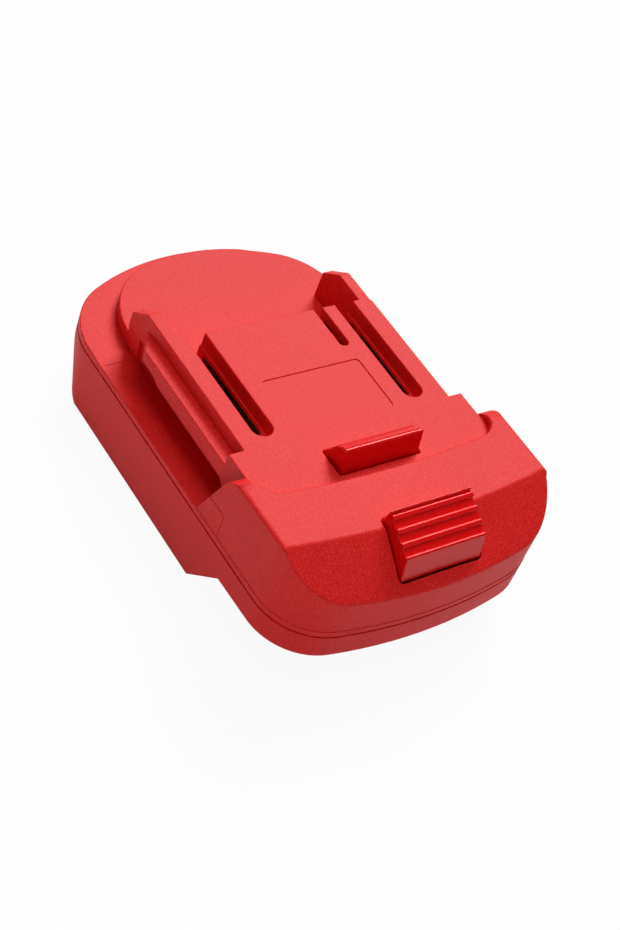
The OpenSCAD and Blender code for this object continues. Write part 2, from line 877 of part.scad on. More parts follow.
// Side view of the hook, steep in front and ramped behind
function hook_side() = [
    [hook_y, latch_z], [hook_y + hook_l, latch_z], [hook_y + hook_l, deck_z],
    [hook_y + 0.7 * hook_l, hook_top_z - 2], [hook_y + 0.5 * hook_l, hook_top_z - 0.8],
    [hook_y + 1.9, hook_top_z],
    [hook_y + 1.1, hook_top_z], [hook_y, deck_z]
];

// Side view of the button, with ribs along its slope
function button_side() =
    let (
        top = [tip + button_top_y, button_top_z],
        ridge = [tip + button_ridge_y, ridge_z],
        run = norm(ridge - top),
        along = (ridge - top) / run,
        out = [along.y, -along.x],
        pitch = (run - rib_start) / rib_count,
        edge = 0.5,
        flank = 0.25,
        half = rib_w / 2,
        valley = function (s) top + along * s - out * rib_h,
        crest = function (s) top + along * s,
        foot_y = tip + window_front + latch_gap
    )
    concat(
        [[button_rear_y, latch_z], [button_rear_y, nose_z], top, crest(edge), valley(edge + flank)],
        [for (i = [0 : rib_count - 1]) let (s = rib_start + i * pitch) each [
            valley(s - half - flank), crest(s - half), crest(s + half), valley(s + half + flank)
        ]],
        [valley(run - edge - flank), crest(run - edge), ridge, [foot_y, latch_z]]
    );

module release_latch() {
    wing_y = tip + post_y;
    color("#d8141c") difference() {
        union() {
            side_prism(hook_side(), -hook_w / 2, hook_w / 2);
            side_prism(button_side(), -button_w / 2, button_w / 2);
            block([-hook_w / 2, button_rear_y - over, latch_z], [hook_w / 2, hook_y + hook_l, latch_top_z]);
            block(
                [-wing_w / 2, wing_y - wing_l / 2, latch_z],
                [wing_w / 2, wing_y + wing_l / 2, latch_top_z]
            );
        }
        both_sides() post([post_x, wing_y], post_r + post_clear, latch_z - over, latch_top_z + over);
    }
}

// Faces between neighbouring rings of a closed tube, with flat ends
function tube_faces(rings, sides) = concat(
    [[for (j = [sides - 1 : -1 : 0]) j]],
    [for (i = [0 : rings - 2], j = [0 : sides - 1]) each [
        [i * sides + j, i * sides + (j + 1) % sides, (i + 1) * sides + j],
        [i * sides + (j + 1) % sides, (i + 1) * sides + (j + 1) % sides, (i + 1) * sides + j]
    ]],
    [[for (j = [0 : sides - 1]) (rings - 1) * sides + j]]
);

// A coil spring round an upright axis, between two heights
module coil(z0, z1) {
    steps = 8 * coil_turns;
    sides = 6;
    climb = (z1 - z0 - 2 * wire_r) / steps;
    points = [for (i = [0 : steps], j = [0 : sides - 1])
        let (a = 360 * i / 8, b = -360 * j / sides, r = coil_r + wire_r * cos(b))
        [r * cos(a), r * sin(a), z0 + wire_r + climb * i + wire_r * sin(b)]];
    polyhedron(points, tube_faces(steps + 1, sides));
}

module latch_spring(side) {
    color("silver") translate([side * post_x, tip + post_y, 0]) coil(tray_z + fit, latch_z - fit);
}

module latch_spring_left() {
    latch_spring(-1);
}

module latch_spring_right() {
    latch_spring(1);
}

module terminal_carrier() {
    slack = 2 * fit;
    pocket_w = slot_w - 2 * shelf_w;
    color("#1c1c1e") difference() {
        union() {
            block([-carrier_w / 2, carrier_front, carrier_z], [carrier_w / 2, carrier_rear, seat_z]);
            both_sides() block(
                [slot_x - tower_w / 2, carrier_front, carrier_z],
                [carrier_w / 2, carrier_rear, tower_z]
            );
            block(
                [short_slot_x - short_slot_w / 2 - signal_wall, short_y - wall, carrier_z],
                [short_slot_x + short_slot_w / 2 + signal_wall, carrier_rear, signal_tower_z]
            );
        }
        both_sides() {
            block(
                [slot_x - pocket_w / 2, carrier_front + wall, seat_z],
                [slot_x + pocket_w / 2, carrier_rear + over, tower_z + over]
            );
            block(
                [trough_in - over, clip_front - slack, seat_z],
                [slot_x, clip_front + strap_l + slack, seat_z + sheet_t + 3 * fit]
            );
        }
        block(
            [short_slot_x - signal_w / 2 - slack, signal_barrel_y - slack, seat_z],
            [short_slot_x + signal_w / 2 + slack, carrier_rear + over, signal_tower_z + over]
        );
        block(
            [short_slot_x - signal_barrel_r - slack, short_y - wall - over, seat_z],
            [
                short_slot_x + signal_barrel_r + slack, carrier_rear + over,
                signal_axis_z + signal_barrel_r + slack
            ]
        );
        block(
            [-lead_notch_w / 2, lead_notch_y, carrier_z - over],
            [lead_notch_w / 2, carrier_rear + over, tower_z + over]
        );
        for (p = carrier_screw) post(p, small_screw_r + head_clear, carrier_z - over, seat_z + over);
    }
}

// Plan of a sprung clip: a bridge and two leaves that pinch and then flare
function clip_plan(w, l, pinch) =
    let (h = w / 2, t = sheet_t, k = 0.72 * l, m = h - t - 0.1)
    [
        [-h, 0], [h, 0], [h, 0.25 * l], [pinch / 2 + t, k], [m + t, l], [m, l],
        [pinch / 2, k], [h - t, 0.25 * l], [h - t, t],
        [t - h, t], [t - h, 0.25 * l], [-pinch / 2, k], [-m, l], [-m - t, l],
        [-pinch / 2 - t, k], [-h, 0.25 * l]
    ];

module power_contact(side) {
    clip_w = slot_w - 2 * shelf_w - 4 * fit;
    floor_z = seat_z + fit;
    color("#c9a24a") mirror([side < 0 ? 1 : 0, 0, 0]) difference() {
        union() {
            translate([slot_x, clip_front, floor_z])
                linear_extrude(clip_h) polygon(clip_plan(clip_w, clip_l, 0.9));
            block(
                [lead_x - barrel_r, clip_front, floor_z],
                [slot_x - clip_w / 2 + sheet_t, clip_front + strap_l, floor_z + sheet_t]
            );
            bar(lead_x, contact_axis_z, barrel_r, clip_front + 1, contact_barrel_y + barrel_l);
        }
        bar(lead_x, contact_axis_z, bore_r, clip_front + 1 - over, contact_barrel_y + barrel_l + over);
    }
}

module contact_positive() {
    power_contact(1);
}

module contact_negative() {
    power_contact(-1);
}

module contact_signal() {
    leaf_z = signal_axis_z + signal_barrel_r - 0.3;
    color("#c9a24a") difference() {
        union() {
            translate([short_slot_x, short_y, leaf_z])
                linear_extrude(signal_clip_h) polygon(clip_plan(signal_w, signal_clip_l, 0.5));
            bar(short_slot_x, signal_axis_z, signal_barrel_r, signal_barrel_y, signal_barrel_y + barrel_l);
        }
        bar(
            short_slot_x, signal_axis_z, signal_bore_r,
            signal_barrel_y - over, signal_barrel_y + barrel_l + over
        );
    }
}

module battery_terminal_block() {
    color("#1c1c1e") difference() {
        union() {
            block([-block_w / 2, block_y, block_z], [block_w / 2, block_y + block_l, bay_z]);
            for (i = [-1 : 1])
                block(
                    [i * blade_pitch - 2.5, block_y - 2, blade_z - 1.5],
                    [i * blade_pitch + 2.5, block_y + over, blade_z + blade_h + 1.5]
                );
        }
        for (i = [-1 : 1]) {
            half = blade_t / 2 + fit;
            block(
                [i * blade_pitch - half, block_y - 2 - over, blade_z - fit],
                [i * blade_pitch + half, riser_y + riser_l + fit, blade_z + blade_h + fit]
            );
            block(
                [i * blade_pitch - half, riser_y - fit, blade_z],
                [i * blade_pitch + half, riser_y + riser_l + fit, bay_z + over]
            );
        }
        both_sides() {
            post([block_screw_x, block_screw_y], small_screw_r + head_clear, block_z - over, bay_z + over);
            post(
                [block_screw_x, block_screw_y], small_head_r + head_clear, block_z - over,
                skirt_h + block_boss_h - 0.4 - block_screw_l
            );
        }
    }
}

// A blade with its riser through the floor, its tab and its crimp barrel
module battery_blade(i, axis_z, outer_r, inner_r) {
    tab_half = outer_r - 0.4;
    color("#d8d8da") translate([i * blade_pitch, 0, 0]) difference() {
        union() {
            side_prism(
                [
                    [block_y - blade_l + 1, blade_z], [riser_y + riser_l, blade_z],
                    [riser_y + riser_l, tab_z + sheet_t], [riser_y, tab_z + sheet_t],
                    [riser_y, blade_z + blade_h], [block_y - blade_l + 1, blade_z + blade_h],
                    [block_y - blade_l, blade_z + blade_h - 1], [block_y - blade_l, blade_z + 1]
                ],
                -blade_t / 2, blade_t / 2
            );
            block(
                [-tab_half, blade_barrel_y + 3.5, tab_z],
                [tab_half, riser_y + riser_l, tab_z + sheet_t]
            );
            bar(0, axis_z, outer_r, blade_barrel_y, blade_barrel_y + barrel_l);
        }
        bar(0, axis_z, inner_r, blade_barrel_y - over, blade_barrel_y + barrel_l);
    }
}

module blade_negative() {
    battery_blade(-1, blade_axis_z, barrel_r, bore_r);
}

module blade_positive() {
    battery_blade(0, blade_axis_z, barrel_r, bore_r);
}

module blade_signal() {
    battery_blade(1, blade_signal_axis_z, signal_barrel_r, signal_bore_r);
}

// A point on the smooth curve through four neighbouring route points
function spline(p0, p1, p2, p3, t) =
    0.5 * (2 * p1 + (p2 - p0) * t + (2 * p0 - 5 * p1 + 4 * p2 - p3) * t * t
    + (3 * p1 - p0 - 3 * p2 + p3) * t * t * t);

function smooth_route(route, steps) =
    let (n = len(route) - 1)
    concat(
        [for (i = [0 : n - 1], s = [0 : steps - 1])
            spline(route[max(0, i - 1)], route[i], route[i + 1], route[min(n, i + 2)], s / steps)],
        [route[n]]
    );

// A round lead along a route that runs mainly along Y
module lead(route, r) {
    sides = 8;
    line = smooth_route(route, 3);
    last = len(line) - 1;
    points = [for (i = [0 : last])
        let (
            ahead = line[min(last, i + 1)] - line[max(0, i - 1)],
            dir = ahead / norm(ahead),
            flat = cross(dir, [0, 0, 1]),
            u = flat / norm(flat),
            v = cross(u, dir)
        )
        for (j = [0 : sides - 1])
            line[i] + r * (cos(360 * j / sides) * u + sin(360 * j / sides) * v)];
    polyhedron(points, tube_faces(last + 1, sides));
}

// Route of a power lead, straight in both barrels and sleeves and bent between them
function power_route(x0, side) =
    let (x1 = side * lead_x, sleeve_end = contact_barrel_y + sleeve_l + 1)
    [
        [x0, blade_barrel_y + barrel_l - 1, blade_axis_z],
        [x0, blade_sleeve_y - 0.5, blade_axis_z],
        [x0, blade_sleeve_y - 3.5, blade_axis_z],
        [x0 + 0.75 * (x1 - x0), deck_y - wall - 1, blade_axis_z],
        [x1, carrier_rear - lead_drop, (blade_axis_z + contact_axis_z) / 2],
        [x1, sleeve_end + 3, contact_axis_z],
        [x1, sleeve_end, contact_axis_z],
        [x1, contact_barrel_y + 1, contact_axis_z]
    ];

// Route of the signal lead, which drops below the rear wall of the deck
function signal_route() =
    let (barrel_end = signal_barrel_y + barrel_l)
    [
        [blade_pitch, blade_barrel_y + barrel_l - 1, blade_signal_axis_z],
        [blade_pitch, blade_sleeve_y - 0.5, blade_signal_axis_z],
        [blade_pitch, blade_sleeve_y - 3.5, blade_signal_axis_z],
        [short_slot_x, deck_y - wall - 0.4, blade_signal_axis_z],
        [short_slot_x, barrel_end + 1.9, signal_axis_z],
        [short_slot_x, barrel_end + 0.4, signal_axis_z],
        [short_slot_x, signal_barrel_y + 1, signal_axis_z]
    ];

module lead_positive() {
    color("#c01818") lead(power_route(0, 1), lead_r);
}

module lead_negative() {
    color("#151515") lead(power_route(-blade_pitch, -1), lead_r);
}

module lead_signal() {
    color("#e8e8e8") lead(signal_route(), signal_r);
}

// A shrink sleeve over the open end of a crimp barrel
module sleeve(x, z, r, y0) {
    difference() {
        bar(x, z, r + 2 * fit + sleeve_t, y0, y0 + sleeve_l);
        bar(x, z, r + 2 * fit, y0 - over, y0 + sleeve_l + over);
    }
}

module power_sleeves(blade_x, side) {
    color("#202022") {
        sleeve(blade_x, blade_axis_z, barrel_r, blade_sleeve_y);
        sleeve(side * lead_x, contact_axis_z, barrel_r, contact_barrel_y + 0.5);
    }
}

module sleeves_positive() {
    power_sleeves(0, 1);
}

module sleeves_negative() {
    power_sleeves(-blade_pitch, -1);
}

module sleeves_signal() {
    color("#202022") sleeve(blade_pitch, blade_signal_axis_z, signal_barrel_r, blade_sleeve_y);
}

// A pan-head screw that points up, with a cross recess in its head
module screw(p, z, r, l, head_r, head_h) {
    translate([p.x, p.y, z]) difference() {
        union() {
            cylinder(r = head_r, h = head_h);
            translate([0, 0, head_h - fit]) cylinder(r = r, h = l + fit);
        }
        for (turn = [0, 90])
            rotate([0, 0, turn])
                translate([-0.62 * head_r, -0.14 * head_r, -over])
                    cube([1.24 * head_r, 0.28 * head_r, over + 0.5 * head_h]);
    }
}

module case_screws() {
    color("silver") for (side = [-1, 1]) {
        screw(
            [side * nose_screw.x, nose_screw.y], keel_z + head_clear,
            case_screw_r, nose_screw_l, case_head_r, case_head_h
        );
        screw(
            [side * rear_screw.x, rear_screw.y], rear_head_z,
            case_screw_r, rear_screw_l, case_head_r, case_head_h
        );
    }
}

module carrier_screws() {
    color("silver") for (p = carrier_screw)
        screw(p, carrier_z - small_head_h, small_screw_r, carrier_screw_l, small_head_r, small_head_h);
}

module block_screws() {
    head_z = skirt_h + block_boss_h - 0.4 - block_screw_l - small_head_h;
    color("silver") for (side = [-1, 1])
        screw(
            [side * block_screw_x, block_screw_y], head_z,
            small_screw_r, block_screw_l, small_head_r, small_head_h
        );
}

upper_shell();
lower_shell();
release_latch();
latch_spring_left();
latch_spring_right();
terminal_carrier();
contact_positive();
contact_negative();
contact_signal();
battery_terminal_block();
blade_positive();
blade_negative();
blade_signal();
lead_positive();
lead_negative();
lead_signal();
sleeves_positive();
sleeves_negative();
sleeves_signal();
case_screws();
carrier_screws();
block_screws();
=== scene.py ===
"""Looks of a slide-on tool battery adapter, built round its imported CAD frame.

Sizes are in millimetres in the classes below and become metres where a mesh is made. Only the floor
and the lamps of the studio are given in metres. The nose with the release button points to -Y, the
tool rails are on top, and the resting face lies at Z = 0.
"""

import logging
import math
from dataclasses import dataclass
from enum import Enum

import bmesh
import bpy
from mathutils import Euler, Matrix, Vector
from mathutils.bvhtree import BVHTree


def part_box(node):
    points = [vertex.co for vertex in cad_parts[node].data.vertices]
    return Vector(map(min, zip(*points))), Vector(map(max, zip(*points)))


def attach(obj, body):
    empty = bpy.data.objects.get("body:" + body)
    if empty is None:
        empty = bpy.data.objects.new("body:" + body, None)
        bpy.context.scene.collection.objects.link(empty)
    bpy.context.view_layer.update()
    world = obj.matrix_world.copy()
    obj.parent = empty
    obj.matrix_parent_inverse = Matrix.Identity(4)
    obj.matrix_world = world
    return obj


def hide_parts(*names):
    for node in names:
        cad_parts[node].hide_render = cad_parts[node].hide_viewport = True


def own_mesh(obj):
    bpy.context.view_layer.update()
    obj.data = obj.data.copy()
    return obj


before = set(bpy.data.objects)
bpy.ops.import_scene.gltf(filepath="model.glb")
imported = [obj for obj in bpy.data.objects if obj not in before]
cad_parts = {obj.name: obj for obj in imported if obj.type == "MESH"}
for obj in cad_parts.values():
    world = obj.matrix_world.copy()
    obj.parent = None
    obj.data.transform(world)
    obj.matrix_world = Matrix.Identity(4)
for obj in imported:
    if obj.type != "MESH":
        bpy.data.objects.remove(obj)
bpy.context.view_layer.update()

MM = 0.001
DECK_Z = 34.9
log = logging.getLogger("battery_adapter")

Colour = tuple[float, float, float]
Place = tuple[float, float, float]
Term = bpy.types.NodeSocket | float

WHITE: Colour = (1.0, 1.0, 1.0)
WARM_WHITE: Colour = (1.0, 0.88, 0.76)


class Side(Enum):
    """The two sides of the adapter, seen from its nose."""

    LEFT = "left"
    RIGHT = "right"


class Body(Enum):
    """The rigid bodies of the adapter."""

    CASE = "case"
    LATCH = "latch"


class Edge(Enum):
    """Kinds of moulded edge, each with the radius of its rounding in millimetres."""

    TRAY_RIM = 1.2
    SKIRT_RIM = 0.6
    RECESS_RIM = 0.55
    HOOK = 0.5
    NOSE = 0.45
    PLATEAU_RIM = 0.4
    PLAIN = 0.3
    LEDGE_RIM = 0.28
    RIB = 0.26
    SEAM = 0.14
    RIB_END = 0.12
    SHARP = 0.0


def new_group(name: str, inputs: dict[str, float], outputs: list[str]) -> bpy.types.NodeTree:
    """Starts a shader node group with float inputs and outputs.

    Args:
        name: The group's name.
        inputs: Input names with their default values.
        outputs: Output names.

    Returns:
        The group's tree, with its Group Input and Group Output nodes.
    """
    tree = bpy.data.node_groups.new(name, "ShaderNodeTree")
    for label, value in inputs.items():
        socket = tree.interface.new_socket(label, in_out="INPUT", socket_type="NodeSocketFloat")
        socket.default_value = value
    for label in outputs:
        tree.interface.new_socket(label, in_out="OUTPUT", socket_type="NodeSocketFloat")
    tree.nodes.new("NodeGroupInput")
    tree.nodes.new("NodeGroupOutput")
    return tree


@dataclass
class NodeBench:
    """Short ways to add and join nodes in one tree."""

    tree: bpy.types.NodeTree

    def add(self, kind: str, **values: object) -> bpy.types.Node:
        """Adds a node and sets its properties, or its inputs where the name is an input's.

        Args:
            kind: The node's type.
            **values: Properties or input values, with spaces in names written as underscores.

        Returns:
            The new node.
        """
        node = self.tree.nodes.new(kind)
        for label, value in values.items():
            if hasattr(node, label):
                setattr(node, label, value)
            else:
                node.inputs[label.replace("_", " ")].default_value = value
        return node

    def join(self, source: bpy.types.NodeSocket, target: bpy.types.NodeSocket) -> None:
        """Links an output to an input."""
        self.tree.links.new(source, target)

    def maths(self, operation: str, a: Term, b: Term) -> bpy.types.NodeSocket:
        """Adds a Math node on two sockets or numbers.

        Args:
            operation: The node's operation.
            a: The first socket or number.
            b: The second socket or number.

        Returns:
            The socket with the result.
        """
        node = self.add("ShaderNodeMath", operation=operation)
        for slot, value in zip(node.inputs, (a, b)):
            if isinstance(value, bpy.types.NodeSocket):
                self.join(value, slot)
            else:
                slot.default_value = value
        return node.outputs[0]


@dataclass(frozen=True)
class MouldedGrain:
    """The fine grain, with painted white glints, that the finishes share; each sets its own scale,
    speckle and matt.

    Attributes:
        scale: How fine the grain is.
        speckle: How much it lightens and darkens the colour, which also sets how strong its painted
            glints are.
        matt: How much it changes the roughness.
        detail: Detail of the noise.
        ripple_roughness: Roughness of the fine noise.
        pit_share: Scale of the pits as a share of the grain's.
        cloud_scale: Scale of the broad clouds.
        drift: How much the clouds change the colour.
        painted_glint_share: How much painted white glint the palest grains take on.
        noise_middle: Middle of the noise's range.
    """

    scale: float = 2400.0
    speckle: float = 0.06
    matt: float = 0.08
    detail: float = 2.0
    ripple_roughness: float = 0.6
    pit_share: float = 0.7
    cloud_scale: float = 45.0
    drift: float = 0.05
    painted_glint_share: float = 0.4
    noise_middle: float = 0.5

    def group(self) -> bpy.types.NodeTree:
        """Builds the grain's node group.

        Returns:
            A group whose Tone lies round 1, whose second output is a painted white glint that is above 0
            on the palest grains alone, whose Gloss lies round 0, and whose Height drives a bump.
        """
        sockets = {"Scale": self.scale, "Speckle": self.speckle, "Matt": self.matt}
        tree = new_group("moulded_grain", sockets, ["Tone", "PaintedGlint", "Gloss", "Height"])
        bench = NodeBench(tree)
        ins = tree.nodes["Group Input"].outputs
        outs = tree.nodes["Group Output"].inputs
        place = bench.add("ShaderNodeTexCoord").outputs["Object"]
        fine = bench.add("ShaderNodeTexNoise", Detail=self.detail, Roughness=self.ripple_roughness)
        pits = bench.add("ShaderNodeTexVoronoi", feature="F1")
        cloud = bench.add("ShaderNodeTexNoise", Scale=self.cloud_scale, Detail=self.detail)
        for texture in (fine, pits, cloud):
            bench.join(place, texture.inputs["Vector"])
        bench.join(ins["Scale"], fine.inputs["Scale"])
        bench.join(bench.maths("MULTIPLY", ins["Scale"], self.pit_share), pits.inputs["Scale"])
        ripple = bench.maths("SUBTRACT", fine.outputs["Fac"], self.noise_middle)
        spread = bench.maths("SUBTRACT", cloud.outputs["Fac"], self.noise_middle)
        speckle = bench.maths("MULTIPLY", ripple, ins["Speckle"])
        drift = bench.maths("MULTIPLY", spread, self.drift)
        bench.join(bench.maths("ADD", bench.maths("ADD", speckle, drift), 1.0), outs["Tone"])
        # Painted glints: the palest grains take on white, which stands in for sparkles of light on the
        # grain.
        pale = bench.maths("MAXIMUM", speckle, 0.0)
        bench.join(bench.maths("MULTIPLY", pale, self.painted_glint_share), outs["PaintedGlint"])
        bench.join(bench.maths("MULTIPLY", ripple, ins["Matt"]), outs["Gloss"])
        bench.join(bench.maths("ADD", fine.outputs["Fac"], pits.outputs["Distance"]), outs["Height"])
        return tree


@dataclass(frozen=True)
class FineScuffs:
    """The sparse fine scuffs of handled metal and plastic; each finish sets its own amount.

    Attributes:
        scale: How fine the scuffs are.
        amount: How many there are.
        stretch: How the noise is drawn out into lines.
        turn: How the lines are turned, in radians.
        detail: Detail of the noise.
        roughness: Roughness of the noise.
        bare_limit: Noise value above which a surface with no amount would be scuffed.
        amount_share: How far the amount lowers that limit.
    """

    scale: float = 220.0
    amount: float = 0.1
    stretch: Place = (1.0, 0.12, 1.0)
    turn: Place = (0.0, 0.0, 0.6)
    detail: float = 4.0
    roughness: float = 0.7
    bare_limit: float = 0.8
    amount_share: float = 0.3

    def group(self) -> bpy.types.NodeTree:
        """Builds the scuffs' node group.

        Returns:
            A group whose Mask is 1 along the scuffs.
        """
        tree = new_group("fine_scuffs", {"Scale": self.scale, "Amount": self.amount}, ["Mask"])
        bench = NodeBench(tree)
        ins = tree.nodes["Group Input"].outputs
        outs = tree.nodes["Group Output"].inputs
        place = bench.add("ShaderNodeTexCoord").outputs["Object"]
        drawn = bench.add("ShaderNodeMapping", Scale=self.stretch, Rotation=self.turn)
        bench.join(place, drawn.inputs["Vector"])
        lines = bench.add("ShaderNodeTexNoise", Detail=self.detail, Roughness=self.roughness)
        bench.join(drawn.outputs["Vector"], lines.inputs["Vector"])
        bench.join(ins["Scale"], lines.inputs["Scale"])
        reach = bench.maths("MULTIPLY", ins["Amount"], self.amount_share)
        limit = bench.maths("SUBTRACT", self.bare_limit, reach)
        bench.join(bench.maths("GREATER_THAN", lines.outputs["Fac"], limit), outs["Mask"])
        return tree


MOULDED_GRAIN = MouldedGrain()
FINE_SCUFFS = FineScuffs()
GRAIN_GROUP = MOULDED_GRAIN.group()
SCUFF_GROUP = FINE_SCUFFS.group()


@dataclass(frozen=True)
class Finish:
    """A surface finish with grain and scuffs of its own strength.

    Attributes:
        name: The record's material slot, and the material's name.
        colour: The base colour.
        roughness: The mean roughness.
        metallic: 1 on bare metal.
        specular: The shader's specular level.
        grain_scale: How fine the grain is.
        speckle: How much the grain changes the colour, and how strong its painted white glints are.
        matt: How much the grain changes the roughness.
        bump: Strength of the grain's relief.
        bump_depth: Depth of the relief in millimetres.
        scuffs: How many scuffs there are.
        scuff_roughness: How much rougher a scuff is.
    """

    name: str
    colour: Colour
    roughness: float
    metallic: float = 0.0
    specular: float = 0.5
    grain_scale: float = MOULDED_GRAIN.scale
    speckle: float = MOULDED_GRAIN.speckle
    matt: float = MOULDED_GRAIN.matt
    bump: float = 0.15
    bump_depth: float = 0.03
    scuffs: float = FINE_SCUFFS.amount
    scuff_roughness: float = 0.08

    def material(self) -> bpy.types.Material:
        """Builds the finish's material.

        Returns:
            A node material named for the finish.
        """
        material = bpy.data.materials.new(self.name)
        material.use_nodes = True
        bench = NodeBench(material.node_tree)
        shader = material.node_tree.nodes["Principled BSDF"]
        shader.inputs["Metallic"].default_value = self.metallic
        shader.inputs["Specular IOR Level"].default_value = self.specular
        grain = bench.add("ShaderNodeGroup", node_tree=GRAIN_GROUP)
        grain.inputs["Scale"].default_value = self.grain_scale
        grain.inputs["Speckle"].default_value = self.speckle
        grain.inputs["Matt"].default_value = self.matt
        scuffs = bench.add("ShaderNodeGroup", node_tree=SCUFF_GROUP)
        scuffs.inputs["Amount"].default_value = self.scuffs
        tint = bench.add("ShaderNodeVectorMath", operation="SCALE")
        tint.inputs[0].default_value = self.colour
        bench.join(grain.outputs["Tone"], tint.inputs["Scale"])
        # The grain's painted white glints are added to the base colour here.
        with_painted_glints = bench.add("ShaderNodeVectorMath", operation="ADD")
        bench.join(tint.outputs["Vector"], with_painted_glints.inputs[0])
        bench.join(grain.outputs["PaintedGlint"], with_painted_glints.inputs[1])
        bench.join(with_painted_glints.outputs["Vector"], shader.inputs["Base Color"])
        worn = bench.maths("MULTIPLY", scuffs.outputs["Mask"], self.scuff_roughness)
        matt = bench.maths("ADD", grain.outputs["Gloss"], self.roughness)
        bench.join(bench.maths("ADD", matt, worn), shader.inputs["Roughness"])
        bump = bench.add("ShaderNodeBump", Strength=self.bump, Distance=self.bump_depth * MM)
        bench.join(grain.outputs["Height"], bump.inputs["Height"])
        bench.join(bump.outputs["Normal"], shader.inputs["Normal"])
        return material


SHELL_RED = Finish(
    "shell_red", (0.74, 0.009, 0.008), 0.55, specular=0.22, grain_scale=3000.0, speckle=0.45, bump=0.6
)
LATCH_RED = Finish(
    "latch_red", (0.76, 0.004, 0.005), 0.2, specular=0.25,
    grain_scale=900.0, speckle=0.02, matt=0.02, bump=0.03,
)
INSULATOR_BLACK = Finish("insulator_black", (0.016, 0.016, 0.018), 0.5, speckle=0.1)
SPRING_STEEL = Finish("spring_steel", (0.52, 0.53, 0.55), 0.28, metallic=1.0, bump=0.05)
CONTACT_BRASS = Finish("contact_brass", (0.70, 0.52, 0.24), 0.3, metallic=1.0, bump=0.05, scuffs=0.5)
BLADE_PLATED = Finish("blade_plated", (0.66, 0.66, 0.67), 0.3, metallic=1.0, bump=0.05, scuffs=0.6)
SCREW_STEEL = Finish("screw_steel", (0.48, 0.48, 0.5), 0.34, metallic=1.0, bump=0.08, scuffs=0.5)
LEAD_RED = Finish("lead_red", (0.55, 0.02, 0.02), 0.42, grain_scale=1200.0)
LEAD_BLACK = Finish("lead_black", (0.018, 0.018, 0.018), 0.42, grain_scale=1200.0)
LEAD_WHITE = Finish("lead_white", (0.78, 0.78, 0.75), 0.42, grain_scale=1200.0)
SLEEVE_RED = Finish("sleeve_red", (0.4, 0.02, 0.02), 0.55, grain_scale=800.0)
SLEEVE_BLACK = Finish("sleeve_black", (0.025, 0.025, 0.027), 0.55, grain_scale=800.0)


def plain_object(name: str, data: bpy.types.ID) -> bpy.types.Object:
    """Links new data to the scene as an unturned object at the origin.

    Args:
        name: The object's name.
        data: Its mesh, lamp or camera.

    Returns:
        The object.
    """
    made = bpy.data.objects.new(name, data)
    bpy.context.scene.collection.objects.link(made)
    return made


def applied(made: bpy.types.Object) -> bpy.types.Object:
    """Turns an object's modifiers into plain mesh.

    Args:
        made: An object with live modifiers.

    Returns:
        The same object with the result as its mesh and no modifiers.
    """
    graph = bpy.context.evaluated_depsgraph_get()
    mesh = bpy.data.meshes.new_from_object(made.evaluated_get(graph), depsgraph=graph)
    made.modifiers.clear()
    made.data = mesh
    return made


@dataclass(frozen=True)
class OuterEdge:
    """Where an outer edge of a moulding lies, and how its two faces stand.

    Attributes:
        middle: The edge's middle, in millimetres.
        along: The edge's direction.
        normals: The normals of its two faces.
    """

    middle: Vector
    along: Vector
    normals: tuple[Vector, Vector]

    def most_up(self) -> float:
        """Gives the upward share of the face that looks up more."""
        return max(normal.z for normal in self.normals)

    def least_up(self) -> float:
        """Gives the upward share of the face that looks up less, below 0 where it looks down."""
        return min(normal.z for normal in self.normals)


